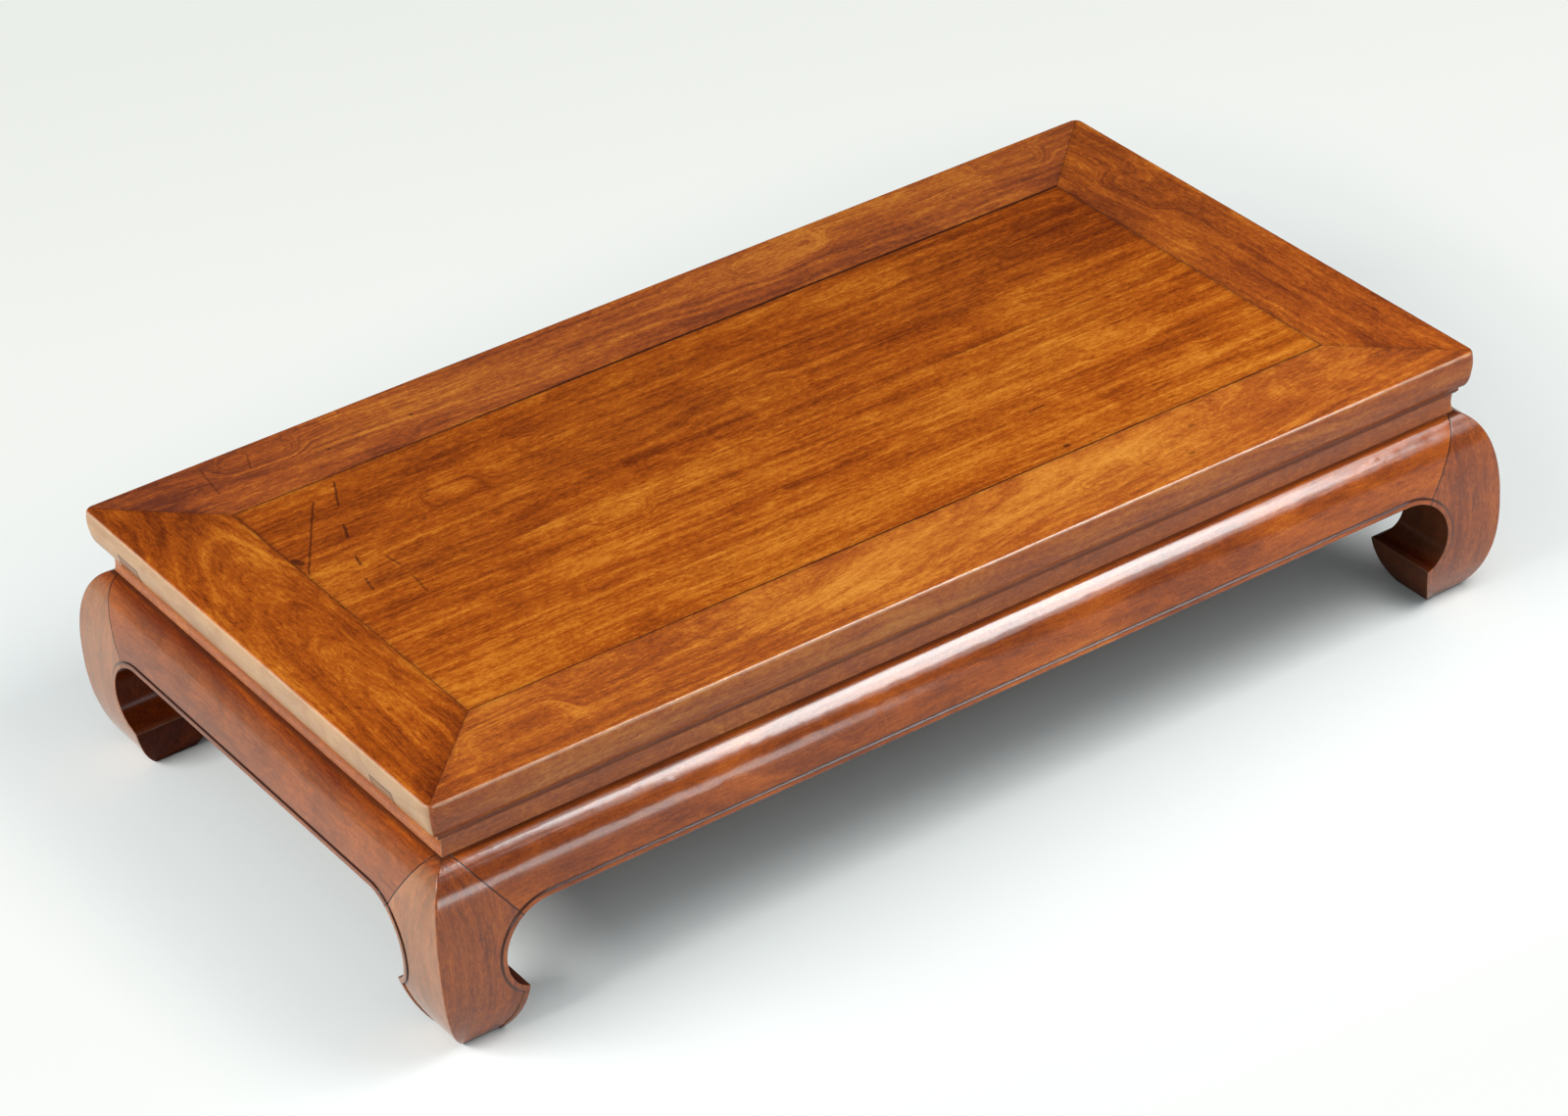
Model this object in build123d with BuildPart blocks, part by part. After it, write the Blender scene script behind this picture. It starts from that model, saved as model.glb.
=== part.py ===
from build123d import *
from math import acos, asin, cos, degrees, radians, sin
import os

# A low waisted kang table: a mitred frame top with a floating panel, a narrow waist, bulging
# aprons with a beaded edge, and four bulging legs that end in inward-turned horse hoofs.
# Millimetres. +X runs along the length, +Z is up, and the origin is on the floor under the centre.
# "Inward" is measured from the vertical plane through the widest part of the top's edge.

# ---------------------------------------------------------------- driving dimensions
# Frame top
top_length = 880.0
top_width = 475.0
table_height = 200.0
rail_width = 79.0
rail_thickness = 35.5
corner_radius = 8.0
# Moulding on the outer edge of the frame, from the top arris down to the small fillet
arris_inward = 2.9
arris_pull = 2.4
arris_drop = 2.4
edge_belly_drop = 9.0
edge_belly_pull = 4.0
edge_straight_drop = 19.0
edge_straight_inward = 1.4
edge_lean = 0.18
edge_pull = 3.0
undercut_inward = 8.8
undercut_drop = 30.2
undercut_pull = 6.5
undercut_sweep = 3.5
undercut_dip = 0.8
fillet_step = 0.9
fillet_height = 3.4
frame_foot_step = 1.5
# Floating panel
panel_thickness = 14.0
panel_seam_y = 3.5
panel_gap_long = 0.7
panel_gap_end = 0.3
panel_tongue_thickness = 6.0
panel_tongue_length = 7.0
groove_slack = 1.0
seam_tongue = 4.0
# Battens under the panel
batten_spacing = 205.0
batten_width = 30.0
batten_depth = 16.0
dovetail_depth = 4.0
dovetail_root = 16.0
dovetail_flare = 1.6
batten_tenon_length = 14.0
batten_tenon_width = 20.0
batten_tenon_thickness = 9.0
# Mitre tenons of the long rails, which pass right through the short rails
through_tenon_start = 50.0
through_tenon_width = 28.0
through_tenon_rise = 9.5
through_tenon_thickness = 11.0
# Waist
waist_height = 15.5
waist_inward = 12.5
waist_hollow = 1.0
waist_thickness = 11.5
waist_tongue_inward = 16.5
waist_tongue_thickness = 4.5
waist_tongue_height = 3.5
waist_tongue_stop = 62.0
# Bulging outline shared by the aprons and the legs
belly_outward = 12.1
belly_height = 77.2
shoulder_pull = 25.4
shoulder_drop = 6.5
belly_handle_up = 13.3
belly_handle_down = 30.9
foot_inward = 8.9
foot_pull = 16.8
foot_rise = 17.6
ridge_radius = 1.3
# Aprons
apron_bottom = 103.0
apron_back_straight = 21.0
apron_foot_inward = 9.0
# Legs
leg_narrow = 38.0
arch_radius = 36.5
mitre_start = 18.5
mitre_end = 54.5
claw_turn_height = 47.0
claw_reach = 54.6
claw_height = 38.0
hoof_belly_reach = 51.0
hoof_belly_height = 20.0
foot_reach = 41.0
web_inward = 16.5
web_overlap = 1.0
# Beaded edge along the aprons and down the legs
bead_width = 4.3
bead_height = 1.0
bead_rounding = 0.6
# Joints between apron, leg and frame
joint_clearance = 0.1
tongue_inward = 2.0
tongue_thickness = 6.0
tongue_length = 8.0
tongue_rise = 7.0
tongue_drop = 15.0
pin_depth = 5.0
pin_start = 34.0
pin_width = 8.0
pin_flare = 1.5
pin_foot = 16.0
leg_tenon_height = 18.0
leg_tenon_width = 8.0
leg_tenon_length = 12.0
leg_tenon_margin = 3.0
leg_tenon_gap = 1.0
# Dovetail keys behind the aprons and the waist
key_spacing_long = 250.0
key_width = 14.0
key_stand = 9.0
key_foot = 9.0
key_flare = 1.5
key_depth = 5.0
key_tenon_height = 11.0
key_tenon_margin = 2.0

# ---------------------------------------------------------------- derived heights and lines
half_length = top_length / 2
half_width = top_width / 2
frame_bottom = table_height - rail_thickness
waist_bottom = frame_bottom - waist_height
apron_top = waist_bottom
post_inward = waist_inward + waist_thickness
panel_bottom = table_height - panel_thickness
inner_half_length = half_length - rail_width
inner_half_width = half_width - rail_width
arch_inward = leg_narrow + arch_radius
arch_height = apron_bottom - arch_radius
mitre_angle = degrees(acos((mitre_end - arch_inward) / arch_radius))
mitre_foot = arch_height + arch_radius * sin(radians(mitre_angle))
apron_back_bend = apron_top - apron_back_straight
tongue_low = mitre_foot + tongue_rise
tongue_high = apron_top - tongue_drop
pin_low = apron_back_bend - pin_foot
key_low = apron_back_bend - key_foot
clear_outward = 2 * belly_outward  # well past the widest part of the bulge
far = top_length + top_width  # longer than anything in the table
along_x = Plane.YZ.offset(-far)  # sections drawn here and pulled by twice that run right through
along_y = Plane.XZ.offset(-far)

os.makedirs("parts", exist_ok=True)


def save(piece, name):
    """Label a finished piece and write it to its own file."""
    piece.part.label = name
    export_step(piece.part, f"parts/{name}.step")


def block(low, high, grow=0.0, mode=Mode.ADD):
    """Rectangular block between two opposite corners, grown by a clearance on every side."""
    centre = [(a + b) / 2 for a, b in zip(low, high)]
    size = [b - a + 2 * grow for a, b in zip(low, high)]
    with Locations(tuple(centre)):
        Box(*size, mode=mode)


def polygon(plane, *points):
    """Straight-sided face on a plane."""
    with BuildSketch(plane) as face:
        with BuildLine():
            Polyline(*points, close=True)
        make_face()
    return face.sketch


def drawn_face(plane, outline, side, widen=0.0, symmetric=True, **options):
    """Face inside the lines of an outline, mirrored to the other end where it is symmetric."""
    with BuildSketch(plane) as face:
        with BuildLine():
            outline(side, **options)
            if symmetric:
                mirror(about=Plane.YZ)
        make_face()
        if widen:
            offset(amount=widen, kind=Kind.INTERSECTION)
    return face.sketch


def dovetail(centre, face, root, depth, flare, low, high, grow=0.0, mode=Mode.ADD):
    """Upright dovetail on a face towards -Y, wider at its outer end, between two heights."""
    half_root = root / 2 + grow
    half_tip = half_root + flare
    tip = face - depth - grow
    plan = polygon(
        Plane.XY.offset(low - grow),
        (centre - half_root, face),
        (centre + half_root, face),
        (centre + half_tip, tip),
        (centre - half_tip, tip),
    )
    extrude(plan, amount=high - low + 2 * grow, mode=mode)


# ---------------------------------------------------------------- outlines
def edge_moulding(side):
    """Right half of the frame's section: top, edge moulding, fillet and underside."""
    top = table_height
    flat_end = (side - arris_inward, top)
    belly = (side, top - edge_belly_drop)
    straight_end = (side - edge_straight_inward, top - edge_straight_drop)
    undercut_end = (side - undercut_inward, top - undercut_drop)
    fillet_top = (undercut_end[0] - fillet_step, undercut_end[1])
    fillet_foot = (fillet_top[0], fillet_top[1] - fillet_height)
    frame_foot = (fillet_foot[0] - frame_foot_step, frame_bottom)
    Line((0, top), flat_end)
    Bezier(
        flat_end,
        (flat_end[0] + arris_pull, top),
        (side, top - arris_drop),
        belly,
    )
    Bezier(
        belly,
        (side, belly[1] - edge_belly_pull),
        (straight_end[0] + edge_lean * edge_pull, straight_end[1] + edge_pull),
        straight_end,
    )
    Bezier(
        straight_end,
        (straight_end[0] - edge_lean * undercut_pull, straight_end[1] - undercut_pull),
        (undercut_end[0] + undercut_sweep, undercut_end[1] + undercut_dip),
        undercut_end,
    )
    Polyline(undercut_end, fillet_top, fillet_foot, frame_foot, (0, frame_bottom))


def waist_outline(side):
    """Right half of the waist's section, with its slightly hollow outer face."""
    top = (side - waist_inward, frame_bottom)
    middle = (side - waist_inward - waist_hollow, (frame_bottom + waist_bottom) / 2)
    bottom = (side - waist_inward, waist_bottom)
    Line((0, frame_bottom), top)
    ThreePointArc(top, middle, bottom)
    Line(bottom, (0, waist_bottom))


def bulge_outline(side, proud):
    """Right half of the bulging section, from the foot of the waist down to the floor."""
    top = (side - waist_inward + proud, apron_top)
    belly = (side + belly_outward + proud, belly_height)
    foot = (side - foot_inward + proud, 0)
    Line((0, apron_top), top)
    Bezier(
        top,
        (top[0] + shoulder_pull, apron_top - shoulder_drop),
        (belly[0], belly_height + belly_handle_up),
        belly,
    )
    Bezier(
        belly,
        (belly[0], belly_height - belly_handle_down),
        (foot[0] + foot_pull, foot_rise),
        foot,
    )
    Line(foot, (0, 0))


def arch_and_hoof(side):
    """Inner outline of the leg at the left end: floor, hoof, claw and arch up to the mitre."""
    centre = (arch_inward - side, arch_height)
    turn_angle = 180 + degrees(asin((arch_height - claw_turn_height) / arch_radius))
    turn = (
        centre[0] + arch_radius * cos(radians(turn_angle)),
        centre[1] + arch_radius * sin(radians(turn_angle)),
    )
    tip = (claw_reach - side, claw_height)
    direction = (-sin(radians(turn_angle)), cos(radians(turn_angle)))
    ThreePointArc(
        (foot_reach - side, 0),
        (hoof_belly_reach - side, hoof_belly_height),
        tip,
    )
    TangentArc(turn, tip, tangent=direction)
    CenterArc(centre, arch_radius, mitre_angle, turn_angle - mitre_angle)


def upper_arch(side):
    """Rest of the arch at the left end, from the mitre to the straight foot of the apron."""
    CenterArc((arch_inward - side, arch_height), arch_radius, 90, mitre_angle - 90)


def template_blank(outline, **options):
    """Solid whose four sides all carry the same outline, so that the corners mitre by themselves."""
    with BuildPart() as blank:
        extrude(drawn_face(along_x, outline, half_width, **options), amount=2 * far)
        face = drawn_face(along_y, outline, half_length, **options)
        extrude(face, amount=2 * far, mode=Mode.INTERSECT)
    return blank.part


def mitred_side(half_span, half_depth, reach, low, height):
    """Upright prism over the piece on the -Y side: a trapezium with 45 degree ends."""
    plan = polygon(
        Plane.XY.offset(low),
        (-half_span, -half_depth),
        (half_span, -half_depth),
        (half_span - reach, -half_depth + reach),
        (-half_span + reach, -half_depth + reach),
    )
    extrude(plan, amount=height)


# ---------------------------------------------------------------- frame top
# One blank carries the moulding, the groove and every socket. The four rails are cut from it.
batten_places = [-batten_spacing, 0.0, batten_spacing]
batten_bottom = panel_bottom - batten_depth
batten_tenon_low = batten_bottom + (batten_depth - batten_tenon_thickness) / 2
batten_tenon_high = batten_tenon_low + batten_tenon_thickness
key_places = [-key_spacing_long / 2, key_spacing_long / 2]
tenon_low = frame_bottom + through_tenon_rise
tenon_high = tenon_low + through_tenon_thickness


def corner_block(left, front, low, high, grow=0.0, mode=Mode.ADD):
    """Block given by its inward distances from the left end and from the front side."""
    block(
        (left[0] - half_length, front[0] - half_width, low),
        (left[1] - half_length, front[1] - half_width, high),
        grow,
        mode,
    )


# The leg's two tenons stand on either side of the frame's mitre line.
tenon_near = (post_inward + leg_tenon_margin, post_inward + leg_tenon_margin + leg_tenon_width)
tenon_far = (
    tenon_near[1] + leg_tenon_gap,
    tenon_near[1] + leg_tenon_gap + leg_tenon_length,
)


def leg_tenons(grow=0.0, mode=Mode.ADD):
    """Tenons on the front left leg, one for the long rail and one for the short rail."""
    for left, front in ((tenon_far, tenon_near), (tenon_near, tenon_far)):
        corner_block(
            left, front, frame_bottom, frame_bottom + leg_tenon_height, grow, mode
        )


with BuildPart() as leg_sockets:
    leg_tenons(grow=joint_clearance)
    mirror(about=Plane.YZ)
    mirror(about=Plane.XZ)

groove_height = panel_tongue_thickness + 2 * joint_clearance
groove_reach = panel_tongue_length + groove_slack


def key_tenon(half_depth, place, grow=0.0, mode=Mode.ADD):
    """Tenon at the head of an apron key on the front side, entering the frame."""
    front = post_inward - half_depth
    block(
        (place - key_width / 2 + key_tenon_margin, front, frame_bottom),
        (
            place + key_width / 2 - key_tenon_margin,
            front + key_stand - key_tenon_margin,
            frame_bottom + key_tenon_height,
        ),
        grow,
        mode,
    )


with BuildPart() as key_sockets_long:
    for place in key_places:
        key_tenon(half_width, place, joint_clearance)
    mirror(about=Plane.XZ)

with BuildPart() as key_sockets_short:
    key_tenon(half_length, 0.0, joint_clearance)
    mirror(about=Plane.XZ)


def waist_tongue(half_span, half_depth, low, high, grow=0.0, mode=Mode.ADD):
    """Tongue along the top or foot of the waist strip on the front side."""
    inner = half_span - waist_tongue_stop
    front = -half_depth + waist_tongue_inward
    block((-inner, front, low), (inner, front + waist_tongue_thickness, high), grow, mode)


with BuildPart() as waist_grooves_long:
    high = frame_bottom + waist_tongue_height
    waist_tongue(half_length, half_width, frame_bottom, high, joint_clearance)
    mirror(about=Plane.XZ)

with BuildPart() as waist_grooves_short:
    waist_tongue(half_width, half_length, frame_bottom, high, joint_clearance)
    mirror(about=Plane.XZ)

# The frame's corners are rounded in plan: each square corner gives way to a quarter turn of the
# moulding. Deeper in than the radius, the undercut keeps its sharp mitre.
corner_centre = (half_length - corner_radius, half_width - corner_radius)

with BuildPart() as square_corners:
    block((*corner_centre, frame_bottom), (half_length, half_width, table_height))
    mirror(about=Plane.YZ)
    mirror(about=Plane.XZ)

with BuildPart() as round_corners:
    with BuildSketch(Plane.XZ.offset(-corner_centre[1])):
        with BuildLine():
            edge_moulding(half_length)
            mirror(about=Plane.YZ)
        make_face()
        with Locations((half_length - corner_radius / 2, frame_bottom + rail_thickness / 2)):
            Rectangle(corner_radius, rail_thickness, mode=Mode.INTERSECT)
    revolve(axis=Axis((*corner_centre, 0), (0, 0, 1)), revolution_arc=90)
    mirror(about=Plane.YZ)
    mirror(about=Plane.XZ)

with BuildPart() as frame_blank:
    add(template_blank(edge_moulding))
    add(square_corners.part, mode=Mode.SUBTRACT)
    add(round_corners.part)
    block(
        (-inner_half_length, -inner_half_width, 0),
        (inner_half_length, inner_half_width, table_height),
        mode=Mode.SUBTRACT,
    )
    block(
        (-inner_half_length - groove_reach, -inner_half_width - groove_reach, panel_bottom),
        (
            inner_half_length + groove_reach,
            inner_half_width + groove_reach,
            panel_bottom + groove_height,
        ),
        mode=Mode.SUBTRACT,
    )
    for place in batten_places:
        reach = inner_half_width + batten_tenon_length
        block(
            (place - batten_tenon_width / 2, -reach, batten_tenon_low),
            (place + batten_tenon_width / 2, reach, batten_tenon_high),
            joint_clearance,
            Mode.SUBTRACT,
        )
    add(leg_sockets.part, mode=Mode.SUBTRACT)
    add(key_sockets_long.part, mode=Mode.SUBTRACT)
    add(key_sockets_short.part, rotation=(0, 0, 90), mode=Mode.SUBTRACT)
    add(waist_grooves_long.part, mode=Mode.SUBTRACT)
    add(waist_grooves_short.part, rotation=(0, 0, 90), mode=Mode.SUBTRACT)


def through_tenons(grow=0.0, mode=Mode.ADD):
    """Tenons at both ends of the front long rail, right out to the ends of the table."""
    front = -half_width + through_tenon_start
    for side in (-1, 1):
        outer = side * (half_length + grow)
        inner = side * (half_length - rail_width)
        block(
            (min(outer, inner), front - grow, tenon_low - grow),
            (max(outer, inner), front + through_tenon_width + grow, tenon_high + grow),
            mode=mode,
        )


with BuildPart() as long_rail:
    mitred_side(half_length, half_width, rail_width, frame_bottom, rail_thickness)
    through_tenons()
    add(frame_blank.part, mode=Mode.INTERSECT)

with BuildPart() as tenon_slots:
    through_tenons(grow=joint_clearance)
    mirror(about=Plane.XZ)

with BuildPart() as short_rail:
    mitred_side(half_width, half_length, rail_width, frame_bottom, rail_thickness)
    add(tenon_slots.part, rotation=(0, 0, 90), mode=Mode.SUBTRACT)
    add(frame_blank.part, rotation=(0, 0, 90), mode=Mode.INTERSECT)

with BuildPart() as top_rail_front:
    add(long_rail.part)
save(top_rail_front, "top_rail_front")

with BuildPart() as top_rail_back:
    add(long_rail.part, rotation=(0, 0, 180))
save(top_rail_back, "top_rail_back")

with BuildPart() as top_rail_left:
    add(short_rail.part, rotation=(0, 0, -90))
save(top_rail_left, "top_rail_left")

with BuildPart() as top_rail_right:
    add(short_rail.part, rotation=(0, 0, 90))
save(top_rail_right, "top_rail_right")

# ---------------------------------------------------------------- floating panel and battens
panel_half_length = inner_half_length - panel_gap_end
panel_half_width = inner_half_width - panel_gap_long
tongue_half_length = inner_half_length + panel_tongue_length
tongue_half_width = inner_half_width + panel_tongue_length
tongue_bottom = panel_bottom + joint_clearance
tongue_top = tongue_bottom + panel_tongue_thickness


def batten_dovetail(place, reach, grow=0.0, mode=Mode.ADD):
    """Dovetail along the back of a batten, which rises into the underside of the panel."""
    half_root = dovetail_root / 2 + grow
    half_tip = half_root + dovetail_flare
    top = panel_bottom + dovetail_depth + grow
    section = polygon(
        Plane.XZ.offset(-reach),
        (place - half_root, panel_bottom),
        (place + half_root, panel_bottom),
        (place + half_tip, top),
        (place - half_tip, top),
    )
    extrude(section, amount=2 * reach, mode=mode)


def seam_joint(grow=0.0, mode=Mode.ADD):
    """Tongue on the front board, which enters a groove along the edge of the back board."""
    middle = (panel_bottom + dovetail_depth + table_height) / 2
    block(
        (-panel_half_length, panel_seam_y - seam_tongue, middle - seam_tongue / 2),
        (panel_half_length, panel_seam_y + seam_tongue, middle + seam_tongue / 2),
        grow,
        mode,
    )


with BuildPart() as panel_blank:
    block(
        (-panel_half_length, -panel_half_width, panel_bottom),
        (panel_half_length, panel_half_width, table_height),
    )
    block(
        (-tongue_half_length, -tongue_half_width, tongue_bottom),
        (tongue_half_length, tongue_half_width, tongue_top),
    )
    for place in batten_places:
        batten_dovetail(place, tongue_half_width, joint_clearance, Mode.SUBTRACT)

with BuildPart() as panel_board_front:
    block(
        (-tongue_half_length, -tongue_half_width, panel_bottom),
        (tongue_half_length, panel_seam_y, table_height),
    )
    seam_joint()
    add(panel_blank.part, mode=Mode.INTERSECT)
save(panel_board_front, "panel_board_front")

with BuildPart() as panel_board_back:
    block(
        (-tongue_half_length, panel_seam_y, panel_bottom),
        (tongue_half_length, tongue_half_width, table_height),
    )
    seam_joint(joint_clearance, Mode.SUBTRACT)
    add(panel_blank.part, mode=Mode.INTERSECT)
save(panel_board_back, "panel_board_back")

for place, name in zip(batten_places, ("batten_left", "batten_middle", "batten_right")):
    reach = inner_half_width + batten_tenon_length
    with BuildPart() as batten:
        block(
            (place - batten_width / 2, -inner_half_width, batten_bottom),
            (place + batten_width / 2, inner_half_width, panel_bottom),
        )
        batten_dovetail(place, panel_half_width)
        block(
            (place - batten_tenon_width / 2, -reach, batten_tenon_low),
            (place + batten_tenon_width / 2, reach, batten_tenon_high),
        )
    save(batten, name)

# ---------------------------------------------------------------- dovetail keys
def apron_key(half_depth, place, grow=0.0, mode=Mode.ADD):
    """Upright dovetail key let into the back of the apron and the waist on the front side."""
    dovetail(
        place,
        post_inward - half_depth,
        key_width - 2 * key_flare,
        key_depth,
        key_flare,
        key_low,
        frame_bottom,
        grow,
        mode,
    )


def key_piece(half_depth, place):
    """Finished key: dovetail, standing back and tenon."""
    with BuildPart() as key:
        apron_key(half_depth, place)
        back = post_inward - half_depth
        half_root = key_width / 2 - key_flare
        block(
            (place - half_root, back, key_low),
            (place + half_root, back + key_stand, frame_bottom),
        )
        key_tenon(half_depth, place)
    return key.part


# ---------------------------------------------------------------- waist
with BuildPart() as waist_blank:
    add(template_blank(waist_outline))
    block(
        (-half_length + post_inward, -half_width + post_inward, 0),
        (half_length - post_inward, half_width - post_inward, table_height),
        mode=Mode.SUBTRACT,
    )


def waist_strip(half_span, half_depth, keys, turn):
    """Mitred waist strip on the front side, tongued into the frame above and the apron below."""
    with BuildPart() as strip:
        mitred_side(half_span, half_depth, post_inward, waist_bottom, waist_height)
        add(waist_blank.part, rotation=(0, 0, turn), mode=Mode.INTERSECT)
        waist_tongue(
            half_span,
            half_depth,
            waist_bottom - waist_tongue_height,
            frame_bottom + waist_tongue_height,
        )
        for place in keys:
            apron_key(half_depth, place, joint_clearance, Mode.SUBTRACT)
    return strip.part


# ---------------------------------------------------------------- aprons and legs
bead_blank = template_blank(bulge_outline, proud=bead_height)

with BuildPart() as bulge_blank:
    add(template_blank(bulge_outline, proud=0.0))
    ridges = bulge_blank.edges().filter_by(lambda edge: edge.bounding_box().size.Z > foot_rise)
    fillet(ridges, radius=ridge_radius)


def bead_edges(bead, axis):
    """Long edges of the bead's outer skin, without its short ends at the mitres and the floor."""
    skin = bead.faces().sort_by(axis)[0]
    return skin.edges().filter_by(lambda edge: edge.length > 2 * bead_width)


def leg_elevation(side):
    """Face of the leg at the left end seen square on, out past its bulging edge."""
    outside = -side - clear_outward
    Polyline(
        (mitre_end - side, mitre_foot),
        (mitre_start - side, apron_top),
        (outside, apron_top),
        (outside, 0),
        (foot_reach - side, 0),
    )
    arch_and_hoof(side)


def apron_elevation(side):
    """Left half of the apron's face seen square on, from the mitre to the middle."""
    Line((0, apron_top), (mitre_start - side, apron_top))
    Line((mitre_start - side, apron_top), (mitre_end - side, mitre_foot))
    upper_arch(side)
    Line((arch_inward - side, apron_bottom), (0, apron_bottom))


def opening_elevation(side):
    """Left half of the opening under the table seen square on, drawn down past the floor."""
    below = -2 * bead_width
    Polyline((0, below), (foot_reach - side, below), (foot_reach - side, 0))
    arch_and_hoof(side)
    upper_arch(side)
    Line((arch_inward - side, apron_bottom), (0, apron_bottom))


def post_elevation(side):
    """Post of the leg at the left end, whose outer line follows the backs of the aprons."""
    inner = mitre_end - side
    outer = post_inward - side
    Polyline(
        (apron_foot_inward - side, mitre_foot),
        (outer, apron_back_bend),
        (outer, frame_bottom),
        (inner, frame_bottom),
        (inner, mitre_foot),
        (apron_foot_inward - side, mitre_foot),
    )


def mitre_tongue(half_span, half_depth, grow=0.0, mode=Mode.ADD):
    """Tongue on the left mitre of the front apron, which enters a socket in the leg."""
    slope = (mitre_end - mitre_start) / (apron_top - mitre_foot)
    low = tongue_low - grow
    high = tongue_high + grow
    at_low = mitre_start + slope * (apron_top - low) - half_span
    at_high = mitre_start + slope * (apron_top - high) - half_span
    face = polygon(
        Plane.XZ.offset(half_depth - tongue_inward + grow),
        (at_low, low),
        (at_high, high),
        (at_high - tongue_length - grow, high),
        (at_low - tongue_length - grow, low),
    )
    extrude(face, amount=-tongue_thickness - 2 * grow, mode=mode)


def hanging_pin(half_span, half_depth, grow=0.0, mode=Mode.ADD):
    """Dovetail pin on the post of the left leg, over which the front apron slides down."""
    dovetail(
        pin_start + pin_width / 2 - half_span,
        post_inward - half_depth,
        pin_width,
        pin_depth,
        pin_flare,
        pin_low,
        apron_top,
        grow,
        mode,
    )


def corner_web(half_span, half_depth):
    """Web of the left leg that joins its shoulder tip to its post between the apron ends."""
    block(
        (web_inward - half_span, web_inward - half_depth, mitre_foot),
        (
            post_inward + web_overlap - half_span,
            post_inward + web_overlap - half_depth,
            apron_top,
        ),
    )


def apron_piece(half_span, half_depth, keys, turn):
    """Bulging apron on the front side with its bead, mitres, tongues and slots."""
    face = drawn_face(along_y, apron_elevation, half_span)
    band = drawn_face(along_y, opening_elevation, half_span, widen=bead_width)
    outer = -half_depth - clear_outward
    section = polygon(
        along_x,
        (outer, apron_top),
        (post_inward - half_depth, apron_top),
        (post_inward - half_depth, apron_back_bend),
        (apron_foot_inward - half_depth, mitre_foot),
        (outer, mitre_foot),
    )
    with BuildPart() as bead:
        extrude(face, amount=2 * far)
        extrude(band, amount=2 * far, mode=Mode.INTERSECT)
        extrude(section, amount=2 * far, mode=Mode.INTERSECT)
        add(bead_blank, rotation=(0, 0, turn), mode=Mode.INTERSECT)
        fillet(bead_edges(bead, Axis.Y), radius=bead_rounding)
    with BuildPart() as tongues:
        mitre_tongue(half_span, half_depth)
        mirror(about=Plane.YZ)
    with BuildPart() as slots:
        hanging_pin(half_span, half_depth, joint_clearance)
        corner_web(half_span, half_depth)
        mirror(about=Plane.YZ)
        waist_tongue(
            half_span,
            half_depth,
            waist_bottom - waist_tongue_height,
            waist_bottom,
            joint_clearance,
        )
        for place in keys:
            apron_key(half_depth, place, joint_clearance)
    with BuildPart() as apron:
        extrude(face, amount=2 * far)
        extrude(section, amount=2 * far, mode=Mode.INTERSECT)
        add(bulge_blank.part, rotation=(0, 0, turn), mode=Mode.INTERSECT)
        add(bead.part)
        add(tongues.part)
        add(slots.part, mode=Mode.SUBTRACT)
    return apron.part


def feature_on_left(feature, grow=0.0):
    """A joint feature of the left apron's front end, at the front left leg."""
    with BuildPart() as made:
        feature(half_width, half_length, grow)
    return made.part.mirror(Plane.YZ).rotate(Axis.Z, -90)


leg_front_face = drawn_face(along_y, leg_elevation, half_length, symmetric=False)
leg_side_face = drawn_face(along_x, leg_elevation, half_width, symmetric=False)

with BuildPart() as leg_bead_front:
    band = drawn_face(along_y, opening_elevation, half_length, widen=bead_width)
    extrude(leg_front_face, amount=2 * far)
    extrude(leg_side_face, amount=2 * far, mode=Mode.INTERSECT)
    extrude(band, amount=2 * far, mode=Mode.INTERSECT)
    add(bead_blank, mode=Mode.INTERSECT)
    fillet(bead_edges(leg_bead_front, Axis.Y), radius=bead_rounding)

with BuildPart() as leg_bead_side:
    band = drawn_face(along_x, opening_elevation, half_width, widen=bead_width)
    extrude(leg_front_face, amount=2 * far)
    extrude(leg_side_face, amount=2 * far, mode=Mode.INTERSECT)
    extrude(band, amount=2 * far, mode=Mode.INTERSECT)
    add(bead_blank, mode=Mode.INTERSECT)
    fillet(bead_edges(leg_bead_side, Axis.X), radius=bead_rounding)

with BuildPart() as leg_post:
    face = drawn_face(along_y, post_elevation, half_length, symmetric=False)
    extrude(face, amount=2 * far)
    face = drawn_face(along_x, post_elevation, half_width, symmetric=False)
    extrude(face, amount=2 * far, mode=Mode.INTERSECT)

with BuildPart() as leg:
    extrude(leg_front_face, amount=2 * far)
    extrude(leg_side_face, amount=2 * far, mode=Mode.INTERSECT)
    add(bulge_blank.part, mode=Mode.INTERSECT)
    add(leg_bead_front.part)
    add(leg_bead_side.part)
    add(leg_post.part)
    corner_web(half_length, half_width)
    hanging_pin(half_length, half_width)
    add(feature_on_left(hanging_pin))
    leg_tenons()
    mitre_tongue(half_length, half_width, joint_clearance, Mode.SUBTRACT)
    add(feature_on_left(mitre_tongue, joint_clearance), mode=Mode.SUBTRACT)

with BuildPart() as leg_front_left:
    add(leg.part)
save(leg_front_left, "leg_front_left")

with BuildPart() as leg_front_right:
    add(leg.part.mirror(Plane.YZ))
save(leg_front_right, "leg_front_right")

with BuildPart() as leg_back_left:
    add(leg.part.mirror(Plane.XZ))
save(leg_back_left, "leg_back_left")

with BuildPart() as leg_back_right:
    add(leg.part, rotation=(0, 0, 180))
save(leg_back_right, "leg_back_right")

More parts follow.
